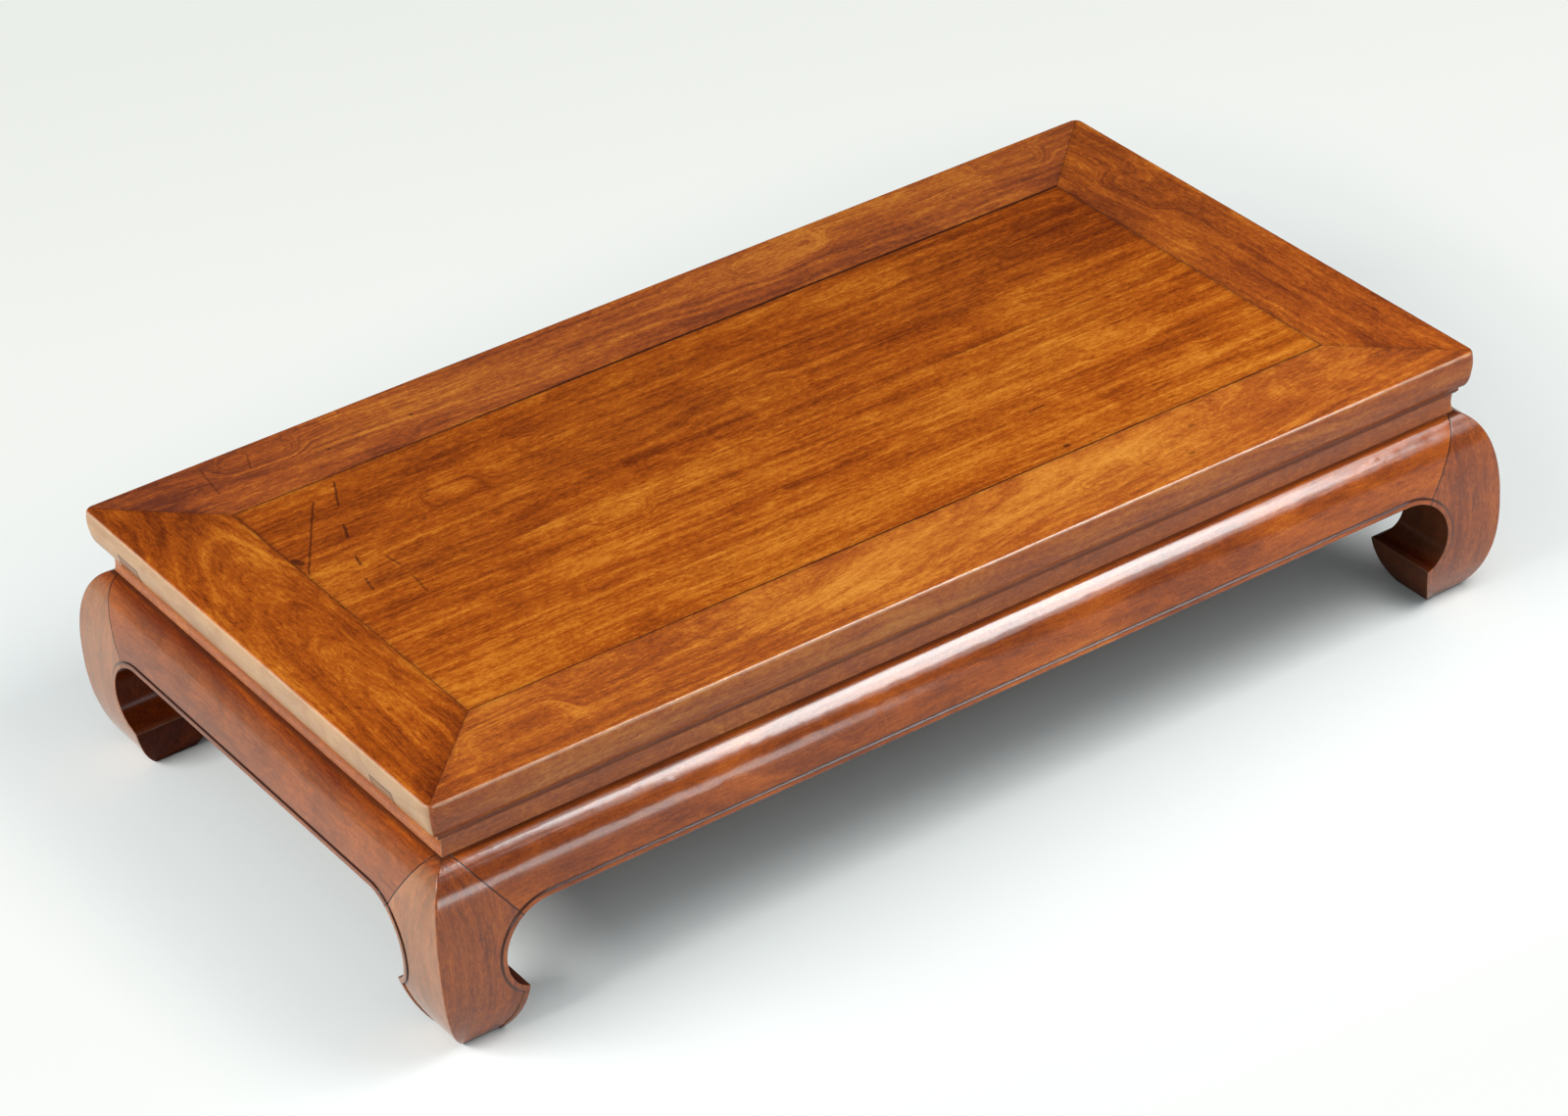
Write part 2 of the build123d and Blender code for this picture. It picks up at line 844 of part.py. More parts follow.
# ---------------------------------------------------------------- the four sides
# Each side is named, with half its span, half the depth behind it, its keys and its turn.
for name, half_span, half_depth, keys, blank_turn, turn in (
    ("front", half_length, half_width, key_places, 0, 0),
    ("back", half_length, half_width, key_places, 0, 180),
    ("left", half_width, half_length, [0.0], 90, -90),
    ("right", half_width, half_length, [0.0], 90, 90),
):
    with BuildPart() as waist:
        add(waist_strip(half_span, half_depth, keys, blank_turn), rotation=(0, 0, turn))
    save(waist, f"waist_{name}")
    with BuildPart() as apron:
        add(apron_piece(half_span, half_depth, keys, blank_turn), rotation=(0, 0, turn))
    save(apron, f"apron_{name}")

for name, half_depth, place, turn in (
    ("front_left", half_width, key_places[0], 0),
    ("front_right", half_width, key_places[1], 0),
    ("back_left", half_width, key_places[1], 180),
    ("back_right", half_width, key_places[0], 180),
    ("left", half_length, 0.0, -90),
    ("right", half_length, 0.0, 90),
):
    with BuildPart() as key:
        add(key_piece(half_depth, place), rotation=(0, 0, turn))
    save(key, f"apron_key_{name}")
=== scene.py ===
import math

import bpy
from mathutils import Matrix, Vector


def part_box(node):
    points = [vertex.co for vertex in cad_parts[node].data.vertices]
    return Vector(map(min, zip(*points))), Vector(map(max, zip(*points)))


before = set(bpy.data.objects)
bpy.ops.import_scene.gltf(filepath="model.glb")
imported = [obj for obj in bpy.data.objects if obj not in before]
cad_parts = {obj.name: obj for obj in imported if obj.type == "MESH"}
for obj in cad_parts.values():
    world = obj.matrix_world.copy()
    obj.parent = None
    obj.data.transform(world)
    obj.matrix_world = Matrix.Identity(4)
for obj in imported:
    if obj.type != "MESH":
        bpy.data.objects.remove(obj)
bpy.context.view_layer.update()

# The kang table in its finish. Metres, in the same frame as the solids: +X along the length,
# +Z up, origin on the floor under the centre of the top. The solids are the visible shapes:
# this script gives each of them its wood, and makes the floor, the light and the camera.

# ---------------------------------------------------------------- sizes of the solids
HALF_LENGTH = 0.440
HALF_WIDTH = 0.2375
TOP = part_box("top_rail_front")[1].z
RAIL_WIDTH = 0.079
SEAM_Y = 0.0035
# Through tenons on the short edges, and how deep the edge's face is.
TENON_NEAR, TENON_FAR = 0.050, 0.078
TENON_LOW, TENON_HIGH = 0.174, 0.185
END_FACE = 0.004
# Heights in the frame's moulding.
UNDERCUT_TOP, UNDERCUT_FADE = 0.1772, 0.003
QUIRK = 0.1670
# The mitre between leg and apron, in elevation: how far it lies inward at its top and foot.
MITRE_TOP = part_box("apron_front")[1].z
MITRE_FOOT = 0.09703
MITRE_START = 0.0185
MITRE_END = 0.0545
# Arch of the legs and its beaded edge, which dies away above the hoof.
ARCH_INWARD, ARCH_HEIGHT, ARCH_RADIUS = 0.0745, 0.0665, 0.0365
BEAD_WIDTH = 0.0043
BEAD_FOOT, BEAD_FULL = 0.030, 0.040
# Aprons and legs have their outer faces within this of the top's outline in plan, and joint
# lines on them only within the smaller depth.
OUTER_DEPTH = 0.030
LINED_DEPTH = 0.020


def linear(red, green, blue):
    """Linear colour from an sRGB colour of 0 to 255."""

    def one(value):
        value /= 255
        return value / 12.92 if value <= 0.04045 else ((value + 0.055) / 1.055) ** 2.4

    return (one(red), one(green), one(blue), 1.0)


# ---------------------------------------------------------------- node helpers
class Tree:
    """Short names for the nodes of one node tree."""

    def __init__(self, node_tree):
        self.nodes = node_tree.nodes
        self.links = node_tree.links
        self.nodes.clear()

    def put(self, socket, value):
        if isinstance(value, bpy.types.NodeSocket):
            self.links.new(value, socket)
        else:
            socket.default_value = value

    def add(self, kind, inputs=None, **settings):
        made = self.nodes.new(kind)
        for key, value in settings.items():
            setattr(made, key, value)
        for key, value in (inputs or {}).items():
            self.put(made.inputs[key], value)
        return made

    def math(self, operation, first, second=0.0, third=0.0, clamp=False):
        made = self.add("ShaderNodeMath", operation=operation, use_clamp=clamp)
        for socket, value in zip(made.inputs, (first, second, third)):
            self.put(socket, value)
        return made.outputs[0]

    def chain(self, operation, first, *others):
        for value in others:
            first = self.math(operation, first, value)
        return first

    def product(self, *values):
        return self.chain("MULTIPLY", *values)

    def largest(self, *values):
        return self.chain("MAXIMUM", *values)

    def sum(self, base, *terms):
        """base plus each (value, middle, gain) as (value - middle) * gain."""
        for value, middle, gain in terms:
            base = self.math("MULTIPLY_ADD", self.math("SUBTRACT", value, middle), gain, base)
        return base

    def vector(self, operation, first, second=None, scale=None):
        made = self.add("ShaderNodeVectorMath", operation=operation)
        self.put(made.inputs[0], first)
        if second is not None:
            self.put(made.inputs[1], second)
        if scale is not None:
            self.put(made.inputs["Scale"], scale)
        return made.outputs["Value" if operation in ("DOT_PRODUCT", "LENGTH") else "Vector"]

    def combine(self, x, y, z):
        return self.add("ShaderNodeCombineXYZ", {"X": x, "Y": y, "Z": z}).outputs[0]

    def separate(self, vector):
        return self.add("ShaderNodeSeparateXYZ", {"Vector": vector}).outputs

    def noise(self, vector, detail=2.0, roughness=0.5, distortion=0.0, output="Fac"):
        inputs = {"Vector": vector, "Scale": 1.0, "Detail": detail, "Roughness": roughness}
        inputs["Distortion"] = distortion
        return self.add("ShaderNodeTexNoise", inputs).outputs[output]

    def ease(self, value, low, high, to_low=0.0, to_high=1.0):
        """Smooth step of a value between two limits."""
        inputs = {"Value": value, "From Min": low, "From Max": high}
        inputs |= {"To Min": to_low, "To Max": to_high}
        made = self.add("ShaderNodeMapRange", inputs, interpolation_type="SMOOTHSTEP")
        return made.outputs[0]

    def line(self, distance, half_width, softness):
        """1 on a thin line, from a signed distance to it."""
        return self.ease(self.math("ABSOLUTE", distance), half_width + softness, half_width)

    def mix(self, factor, first, second, blend="MIX"):
        made = self.add("ShaderNodeMix", data_type="RGBA", blend_type=blend)
        self.put(made.inputs[0], factor)
        self.put(made.inputs[6], first)
        self.put(made.inputs[7], second)
        return made.outputs[2]

    def ramp(self, factor, *stops):
        made = self.add("ShaderNodeValToRGB", {"Fac": factor})
        ramp = made.color_ramp
        while len(ramp.elements) < len(stops):
            ramp.elements.new(0.5)
        for element, (place, colour) in zip(ramp.elements, stops):
            element.position = place
            element.color = colour
        return made.outputs[0]


class Place:
    """A point of the table, measured inward from the nearer end and the nearer long side."""

    def __init__(self, tree):
        self.tree = tree
        self.position = tree.add("ShaderNodeTexCoord").outputs["Object"]
        self.x, self.y, self.z = tree.separate(self.position)
        self.from_end = tree.math("SUBTRACT", HALF_LENGTH, tree.math("ABSOLUTE", self.x))
        self.from_side = tree.math("SUBTRACT", HALF_WIDTH, tree.math("ABSOLUTE", self.y))
        self.nearer = tree.math("MINIMUM", self.from_end, self.from_side)
        self.inward = tree.math("MAXIMUM", self.from_side, self.from_end)
        self.on_top = tree.ease(self.z, TOP - 0.0012, TOP - 0.0004)

    def noise(self, per_metre, **settings):
        scaled = self.tree.vector("SCALE", self.position, scale=per_metre)
        return self.tree.noise(scaled, **settings)


# ---------------------------------------------------------------- cuts of wood
GRAIN_ORDER = {"X": (0, 1, 2), "Y": (1, 0, 2), "Z": (2, 0, 1)}

# Colour of the wood by its tone, from the darkest streaks to the golden patches.
TONES = (
    (0.00, linear(103, 42, 16)),
    (0.25, linear(136, 62, 18)),
    (0.50, linear(170, 82, 22)),
    (0.75, linear(201, 115, 33)),
    (1.00, linear(221, 141, 50)),
)
# Colours that lie over it.
DUST = linear(118, 108, 100)
# Dark joints and lines, and painted shade in the inner corners.
GRIME_AND_SHADE = linear(46, 22, 16)
# Paler wear on arrises, and on the top's arris also a painted highlight.
WORN_AND_HIGHLIGHT = linear(222, 184, 150)
END_GRAIN = linear(96, 58, 42)
EDGE = linear(116, 66, 46)
# Painted sheen on the faces that look left.
LEFT_SHEEN = linear(188, 163, 128)
# Tints that it is multiplied by.
REDDER = (0.98, 0.93, 0.90, 1.0)
# Painted shade in the moulding's undercut and in its quirk.
UNDERCUT_SHADE = (0.68, 0.56, 0.52, 1.0)
QUIRK_SHADE = (0.58, 0.48, 0.44, 1.0)
# Painted shade on the inner faces behind the outer ones.
INSIDE_SHADE = (0.25, 0.18, 0.16, 1.0)

# Each cut of wood: direction of the grain; where the log's axis passes, as (along, across, deep)
# in metres; its lean along the grain; growth lines to the metre; how far they wander (m); tone
# from dark (0) to gold (1); strength of the figure. A cut may also have: eyes, each from a start
# to an end (mm in plan) with its reach (mm) and its height (mm) in the log; patina, a tint and
# its share; strength of the soft spots and of the fine flecks; the wax's index of refraction;
# whether its quieter areas are redder. Otherwise it has those of PLAIN.
PLAIN = dict(eyes=(), patina=None, spots=1.0, flecks=1.0, gloss=1.55, redder=True)
CUTS = {
    "rail_front": dict(
        grain="X", axis=(-0.33, -0.16, 0.17), lean=0.10, lines=190, wave=0.008,
        tone=0.60, figure=1.15, patina=(linear(190, 150, 120), 0.04),
        eyes=(
            ((-372, -192), (-322, -190), 30, 30),
            ((120, -198), (152, -196), 13, 15),
            ((262, -190), (300, -186), 22, 12),
        ),
    ),
    "rail_back": dict(
        grain="X", axis=(0.40, 0.10, 0.10), lean=0.05, lines=210, wave=0.008,
        tone=0.46, figure=1.3, patina=(linear(150, 118, 108), 0.08),
        eyes=(
            ((110, 208), (165, 210), 26, 26),
            ((-330, 214), (-290, 210), 22, 20),
            ((338, 212), (372, 206), 24, 22),
        ),
    ),
    "rail_left": dict(
        grain="Y", axis=(-0.152, -0.395, 0.20), lean=0.15, lines=210, wave=0.009,
        tone=0.50, figure=1.15, spots=1.3, flecks=0.75,
    ),
    "rail_right": dict(
        grain="Y", axis=(0.3, 0.30, 0.1), lean=0.06, lines=200, wave=0.009,
        tone=0.42, figure=1.05, patina=(linear(150, 118, 108), 0.03),
        eyes=(((404, 92), (400, 132), 26, 20),),
    ),
    "board_front": dict(
        grain="X", axis=(0.0, -0.60, 0.12), lean=0.03, lines=200, wave=0.004,
        tone=0.57, figure=1.0,
        eyes=(
            ((-165, -19), (-138, -21), 16, 18),
            ((232, -56), (268, -58), 20, 15),
        ),
    ),
    "board_back": dict(
        grain="X", axis=(0.0, 0.55, 0.10), lean=0.03, lines=180, wave=0.006,
        tone=0.48, figure=0.95,
        eyes=(
            ((-240, 94), (-212, 92), 26, 28),
            ((-40, 60), (30, 64), 24, 10),
        ),
    ),
    # The waist's low tone and dark patina also paint the shade under the frame's moulding.
    "waist": dict(
        grain="X", axis=(0.0, 0.40, 0.1), lean=0.02, lines=190, wave=0.005,
        tone=0.44, figure=0.7, gloss=1.38, patina=(linear(150, 90, 60), 0.32),
    ),
    "apron": dict(
        grain="X", axis=(0.1, 0.30, -0.15), lean=0.05, lines=170, wave=0.005,
        tone=0.34, figure=1.0, spots=0.45, flecks=0.25, gloss=1.45, redder=False,
    ),
    "leg": dict(
        grain="Z", axis=(0.0, -0.60, -0.35), lean=0.05, lines=230, wave=0.006,
        tone=0.28, figure=0.8, spots=0.6, flecks=0.7, gloss=1.50,
        patina=(linear(112, 70, 52), 0.15),
    ),
    "hidden": dict(
        grain="X", axis=(0.0, 0.3, 0.3), lean=0.02, lines=150, wave=0.006,
        tone=0.30, figure=0.6, patina=(linear(118, 108, 100), 0.65),
    ),
}

# Noises stretched along the grain: how many to the metre along and across it, a shift that
# keeps them apart, and the noise's own settings.
SLOW = dict(per_along=4.5, per_across=13.0, shift=3.7, detail=1.5, output="Color")
QUICK = dict(per_along=24.0, per_across=60.0, shift=8.3, detail=2.0, output="Color")
CLOUD = dict(per_along=5.0, per_across=11.0, shift=7.2, detail=1.0)
MOTTLE = dict(
    per_along=26.0, per_across=52.0, shift=4.4, detail=3.0, roughness=0.6, distortion=0.8
)
FLECK = dict(per_along=190.0, per_across=430.0, shift=2.6, detail=2.0, roughness=0.65)
SPECKLE = dict(per_along=520.0, per_across=950.0, shift=3.3, detail=0.0)
FIBRE = dict(per_along=45.0, per_across=800.0, shift=1.9, detail=2.0, roughness=0.6)
PORES = dict(per_along=95.0, per_across=1300.0, shift=6.1, detail=1.0)


def build_mark_group():
    """How near a point is to a segment in plan: 1 on it, 0 beyond its soft edge."""
    group = bpy.data.node_groups.new("mark", "ShaderNodeTree")
    for name, kind in (
        ("Position", "NodeSocketVector"),
        ("Start", "NodeSocketVector"),
        ("Run", "NodeSocketVector"),
        ("Half Width", "NodeSocketFloat"),
        ("Reach", "NodeSocketFloat"),
        ("Strength", "NodeSocketFloat"),
    ):
        group.interface.new_socket(name, in_out="INPUT", socket_type=kind)
    group.interface.new_socket("Mark", in_out="OUTPUT", socket_type="NodeSocketFloat")
    tree = Tree(group)
    given = tree.add("NodeGroupInput").outputs
    flat = tree.vector("MULTIPLY", given["Position"], (1.0, 1.0, 0.0))
    offset = tree.vector("SUBTRACT", flat, given["Start"])
    along = tree.math(
        "DIVIDE",
        tree.vector("DOT_PRODUCT", offset, given["Run"]),
        tree.vector("DOT_PRODUCT", given["Run"], given["Run"]),
        clamp=True,
    )
    nearest = tree.vector("SCALE", given["Run"], scale=along)
    away = tree.vector("LENGTH", tree.vector("SUBTRACT", offset, nearest))
    soft = tree.ease(away, given["Reach"], given["Half Width"])
    tree.add("NodeGroupOutput", {"Mark": tree.product(soft, given["Strength"])})
    return group


MARK_GROUP = build_mark_group()


def mark(tree, position, start, end, half_width, softness, strength):
    """One soft-edged stroke on the top, with its ends and widths in millimetres."""
    made = tree.add("ShaderNodeGroup")
    made.node_tree = MARK_GROUP
    values = {
        "Position": position,
        "Start": (start[0] / 1000, start[1] / 1000, 0.0),
        "Run": ((end[0] - start[0]) / 1000, (end[1] - start[1]) / 1000, 0.0),
        "Half Width": half_width / 1000,
        "Reach": (half_width + softness) / 1000,
        "Strength": strength,
    }
    for key, value in values.items():
        tree.put(made.inputs[key], value)
    return made.outputs[0]


def wood_pattern(place, cut, seed):
    """Tone, fibres, pores and cloudiness of a plank cut from a log."""
    tree = place.tree
    parts = tree.separate(place.position)
    along, across, deep = (parts[i] for i in GRAIN_ORDER[cut["grain"]])

    def stretched(per_along, per_across, shift, **settings):
        point = tree.combine(
            tree.math("MULTIPLY_ADD", along, per_along, shift + seed),
            tree.product(across, per_across),
            tree.product(deep, per_across),
        )
        return tree.noise(point, **settings)

    # The fibres wander across the plank, in long waves and in short ones.
    slow = tree.separate(stretched(**SLOW))
    quick = tree.separate(stretched(**QUICK))
    long_wave, short_wave = 3.2 * cut["wave"], 0.7 * cut["wave"]
    across = tree.sum(across, (slow[1], 0.5, long_wave), (quick[1], 0.5, short_wave))
    deep = tree.sum(deep, (slow[2], 0.5, long_wave), (quick[2], 0.5, short_wave))

    # Growth rings round the log's axis, which leans against the plank. An eye lifts them.
    axis_along, axis_across, axis_deep = cut["axis"]
    lean = tree.product(tree.math("SUBTRACT", along, axis_along), cut["lean"])
    radius = tree.vector(
        "LENGTH",
        tree.combine(
            tree.math("SUBTRACT", across, axis_across),
            tree.math("ADD", tree.math("SUBTRACT", deep, axis_deep), lean),
            0.0,
        ),
    )
    for start, end, reach, height in cut["eyes"]:
        lift = mark(tree, place.position, start, end, 0.0, reach, height / 1000)
        radius = tree.math("ADD", radius, lift)

    def ringed(per_radius, per_along, shift, **settings):
        point = tree.combine(
            tree.product(radius, per_radius),
            tree.product(along, per_along),
            shift + seed * 3.1,
        )
        return tree.noise(point, **settings)

    lines = float(cut["lines"])
    streaks = ringed(lines, per_along=8.0, shift=0.0, detail=5.0, roughness=0.66)
    bands = ringed(0.2 * lines, per_along=3.0, shift=5.5, detail=1.0)
    fibre = stretched(**FIBRE)
    pores = tree.ease(stretched(**PORES), 0.62, 0.76)
    mottle = stretched(**MOTTLE)
    cloud = stretched(**CLOUD)
    tone = tree.sum(
        cut["tone"],
        (streaks, 0.5, 1.15 * cut["figure"]),
        (bands, 0.5, 0.38 * cut["figure"]),
        (mottle, 0.5, 0.60 * cut["spots"]),
        (stretched(**FLECK), 0.5, 0.72 * cut["flecks"]),
        (cloud, 0.5, 0.42 * cut["figure"]),
        (fibre, 0.5, 0.50),
        (stretched(**SPECKLE), 0.5, 0.26),
        (pores, 0.0, -0.16),
    )
    return dict(tone=tone, fibre=fibre, pores=pores, mottle=mottle, cloud=cloud)


# ---------------------------------------------------------------- joint lines
def frame_lines(place):
    """Dark lines of the top: the frame's mitres, the joint round the panel and its seam."""
    tree = place.tree
    ripple = place.noise(26.0, detail=3.0)
    on_rails = tree.math("LESS_THAN", place.nearer, RAIL_WIDTH)
    on_panel = tree.math("GREATER_THAN", place.nearer, RAIL_WIDTH)

    # Each mitre is a fine line in a wider stain that comes and goes.
    off_mitre = tree.math("SUBTRACT", place.from_end, place.from_side)
    fine = tree.product(tree.line(off_mitre, 0.0002, 0.0012), 0.50)
    patchy = tree.ease(ripple, 0.35, 0.65)
    stain = tree.product(tree.line(off_mitre, 0.0, 0.0075), 0.24, patchy)
    mitre = tree.product(tree.largest(fine, stain), on_rails)

    # The joint round the panel is widest along the back, and darkest along the long sides.
    at_back = tree.ease(place.y, 0.0, 0.14, 0.0003, 0.0010)
    width = tree.sum(at_back, (ripple, 0.5, 0.0012))
    off = tree.math("ABSOLUTE", tree.math("SUBTRACT", place.nearer, RAIL_WIDTH + 0.0003))
    joint = tree.ease(tree.math("SUBTRACT", off, width), 0.0009, 0.0)
    long_side = tree.math("LESS_THAN", place.from_side, place.from_end)
    darker = tree.ease(place.x, -0.32, 0.00, -0.10, 0.42)
    joint = tree.product(joint, tree.math("MULTIPLY_ADD", long_side, darker, 0.46))
    soil = tree.product(tree.ease(off, 0.006, 0.0), 0.20)

    # The panel's seam shows more towards the right.
    seam = tree.line(tree.math("SUBTRACT", place.y, SEAM_Y), 0.0001, 0.0006)
    seam = tree.product(seam, tree.ease(place.x, -0.30, 0.30, 0.15, 0.55), on_panel)
    return tree.product(tree.largest(mitre, joint, soil, seam), place.on_top)


def tenon_lines(place):
    """Dark outline of the through tenons on the short edges."""
    tree = place.tree
    middle, half = (TENON_NEAR + TENON_FAR) / 2, (TENON_FAR - TENON_NEAR) / 2
    level, rise = (TENON_LOW + TENON_HIGH) / 2, (TENON_HIGH - TENON_LOW) / 2
    across = tree.math("ABSOLUTE", tree.math("SUBTRACT", place.from_side, middle))
    height = tree.math("ABSOLUTE", tree.math("SUBTRACT", place.z, level))
    beyond = tree.largest(
        tree.math("SUBTRACT", across, half), tree.math("SUBTRACT", height, rise)
    )
    on_end = tree.math("LESS_THAN", place.from_end, END_FACE)
    return tree.product(tree.line(beyond, 0.0003, 0.0004), on_end)


def on_outer_face(place):
    return place.tree.math("LESS_THAN", place.nearer, LINED_DEPTH)


def shoulder_mitres(place):
    """Dark line where the aprons' mitres meet the leg's shoulders, on all four sides."""
    tree = place.tree
    slope = (MITRE_END - MITRE_START) / (MITRE_TOP - MITRE_FOOT)
    expected = tree.math("MULTIPLY_ADD", place.z, -slope, MITRE_START + slope * MITRE_TOP)
    line = tree.line(tree.math("SUBTRACT", place.inward, expected), 0.0003, 0.0007)
    return tree.product(line, on_outer_face(place))


def bead_lines(place):
    """Dirt and painted shade in the quirk beside the bead, along the aprons' foot and round the
    legs' arches.
    """
    tree = place.tree
    drop = tree.math("SUBTRACT", ARCH_HEIGHT, place.z)
    back = tree.math("SUBTRACT", ARCH_INWARD, place.inward)
    round_arch = tree.vector("LENGTH", tree.combine(back, drop, 0.0))
    straight = tree.product(drop, -1.0)
    beyond_arch = tree.math("GREATER_THAN", place.inward, ARCH_INWARD)
    reach = tree.math(
        "ADD",
        tree.product(straight, beyond_arch),
        tree.product(round_arch, tree.math("SUBTRACT", 1.0, beyond_arch)),
    )
    line = tree.line(tree.math("SUBTRACT", reach, ARCH_RADIUS + BEAD_WIDTH), 0.0003, 0.0014)
    above_hoof = tree.ease(place.z, BEAD_FOOT, BEAD_FULL)
    return tree.product(line, 0.85, above_hoof, on_outer_face(place))


def waist_line(place):
    """Dark line where the waist stands on the aprons and the legs."""
    tree = place.tree
    return tree.product(tree.line(tree.math("SUBTRACT", place.z, MITRE_TOP), 0.0006, 0.0010), 0.6)


TOP_LINES = (frame_lines, tenon_lines)
BASE_LINES = (shoulder_mitres, bead_lines, waist_line)

# ---------------------------------------------------------------- marks on the top
# Scratches, nicks and spots: start, end (mm), half width (mm), softness (mm), strength.
SCRATCHES = (
    ((-309.3, 135.3), (-358.5, 56.1), 0.4, 1.0, 0.66),
    ((-283.9, 149.4), (-297.4, 120.0), 0.4, 1.0, 0.72),
    ((-307.8, 95.2), (-313.3, 79.9), 0.5, 1.1, 0.80),
    ((-321.9, 54.3), (-324.4, 43.4), 0.5, 1.0, 0.75),
    ((-330.7, 26.0), (-334.2, 9.6), 0.4, 1.0, 0.60),
    ((-304.9, 39.8), (-303.5, 25.6), 0.4, 1.0, 0.60),
    ((-303.9, 6.5), (-306.3, -15.7), 0.4, 1.0, 0.55),
    ((-358.5, 77.0), (-355.9, 71.0), 1.6, 2.5, 0.75),
    ((-349.8, 226.7), (-354.6, 189.4), 0.35, 1.0, 0.45),
    ((-313.1, 224.9), (-320.4, 204.9), 0.35, 1.0, 0.45),
    ((-194.3, 193.6), (-194.0, 193.2), 0.7, 1.0, 0.75),
    ((-263.7, 191.2), (-263.3, 191.0), 0.7, 1.0, 0.70),
    ((-242.6, 90.1), (-241.5, 90.0), 0.6, 1.0, 0.60),
    ((-260.1, 66.3), (-259.0, 66.2), 0.6, 1.0, 0.60),
    ((145.9, -96.3), (159.7, -94.1), 0.4, 1.0, 0.60),
    ((138.2, -149.2), (139.8, -149.4), 1.3, 1.8, 0.75),
    ((220.6, -185.3), (223.0, -185.0), 0.9, 1.6, 0.55),
    ((197.9, -214.2), (199.9, -214.2), 0.9, 1.5, 0.55),
    ((165.3, -201.7), (166.9, -207.0), 0.1, 0.6, 0.80),
)
# Darker and lighter patches, in the same way, as changes of tone.
PATCHES = (
    ((-41.7, -66.7), (22.0, -66.6), 1.0, 5.0, -0.20),
    ((-110.0, 36.0), (-10.0, 30.0), 1.5, 8.0, -0.20),
    ((-70.0, 20.0), (70.0, 15.0), 1.0, 9.0, -0.22),
    ((-320.0, 14.0), (-230.0, 6.0), 4.0, 40.0, -0.10),
    ((-140.0, 92.0), (-30.0, 84.0), 6.0, 50.0, -0.10),
    ((190.0, 66.0), (358.0, 58.0), 1.0, 8.0, -0.15),
    ((-398.0, 225.0), (-398.0, 150.0), 6.0, 45.0, -0.14),
    ((-425.0, -222.0), (-370.0, -170.0), 2.0, 22.0, -0.16),
    ((-380.0, -228.0), (-90.0, -226.0), 2.0, 20.0, -0.14),
    ((425.0, -222.0), (370.0, -170.0), 2.0, 26.0, -0.10),
    ((236.0, -56.0), (276.0, -57.0), 3.0, 26.0, 0.14),
    ((-225.6, 97.0), (-223.1, 88.0), 2.0, 14.0, 0.20),
    ((40.0, -182.0), (350.0, -190.0), 6.0, 34.0, 0.07),
    ((-392.0, 0.0), (-380.0, -120.0), 5.0, 26.0, 0.12),
    ((-210.0, -62.0), (-120.0, -64.0), 4.0, 26.0, 0.09),
    ((110.0, 214.0), (190.0, 208.0), 3.0, 22.0, 0.10),
    ((230.0, 118.0), (350.0, 100.0), 8.0, 55.0, -0.16),
    ((404.0, 60.0), (404.0, 180.0), 8.0, 60.0, -0.06),
    ((-404.0, 190.0), (-408.0, 110.0), 10.0, 30.0, -0.13),
    ((-390.0, 60.0), (-396.0, 10.0), 5.0, 26.0, 0.08),
    ((100.0, 190.0), (350.0, 160.0), 8.0, 60.0, -0.07),
)


def near_box(node, start, end, margin):
    """Whether a stroke with this margin (mm) reaches over a solid's box in plan."""
    low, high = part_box(node)
    for axis in (0, 1):
        least = min(start[axis], end[axis]) - margin
        most = max(start[axis], end[axis]) + margin
        if most < low[axis] * 1000 or least > high[axis] * 1000:
            return False
    return True


def strokes(place, segments, node, operation):
    """All marks that reach this solid, put together, with slightly ragged edges."""
    tree = place.tree
    ragged = place.noise(170.0, detail=2.0, output="Color")
    ragged = tree.vector("SCALE", tree.vector("SUBTRACT", ragged, (0.5, 0.5, 0.5)), scale=0.0022)
    position = tree.vector("ADD", place.position, ragged)
    total = 0.0
    for start, end, half_width, softness, strength in segments:
        if near_box(node, start, end, half_width + softness):
            one = mark(tree, position, start, end, half_width, softness, strength)
            total = tree.math(operation, total, one)
    return tree.product(total, place.on_top)


# ---------------------------------------------------------------- finish
# The wood itself is matt; the gloss is all in the wax.
WOOD_ROUGHNESS, WAX_ROUGHNESS = 0.6, 0.14
WOOD_BUMP, WAX_BUMP = 0.12, 0.025
BUMP_DEPTH = 0.0004
# What is left of the gloss on the frame's upright edges and on unpolished faces.
EDGE_GLOSS, UNPOLISHED_GLOSS = 0.45, 0.15
# How far into a corner the dirt and painted shade are looked for, and the radius of a worn arris.
CORNER_REACH = 0.005
ARRIS_RADIUS = 0.0009
# The most that each covering takes of the colour.
EDGE_SHARE, DUST_SHARE, END_GRAIN_SHARE, DIRT_AND_SHADE_SHARE, DARK_LINE_SHARE = 0.45, 0.75, 0.5, 0.55, 0.92


def moulding(place, facing, colour):
    """The frame's upright edges: duller and darker, with painted shade in the undercut and
    most in the quirk above the small fillet."""
    tree = place.tree
    undercut = tree.ease(place.z, UNDERCUT_TOP, UNDERCUT_TOP - UNDERCUT_FADE)
    colour = tree.mix(undercut, colour, UNDERCUT_SHADE, "MULTIPLY")
    quirk = tree.line(tree.math("SUBTRACT", place.z, QUIRK), 0.0022, 0.0018)
    colour = tree.mix(quirk, colour, QUIRK_SHADE, "MULTIPLY")
    return tree.mix(tree.ease(facing[2], 0.80, 0.40, 0.0, EDGE_SHARE), colour, EDGE)


def outwardness(place, facing):
    """1 where a face near the top's outline looks straight out, 0 or less elsewhere."""
    tree = place.tree
    ways = []
    for part, across, depth in (
        (facing[0], place.x, place.from_end),
        (facing[1], place.y, place.from_side),
    ):
        outer = tree.math("LESS_THAN", depth, OUTER_DEPTH)
        ways.append(tree.product(part, tree.math("SIGN", across), outer))
    return tree.largest(*ways)


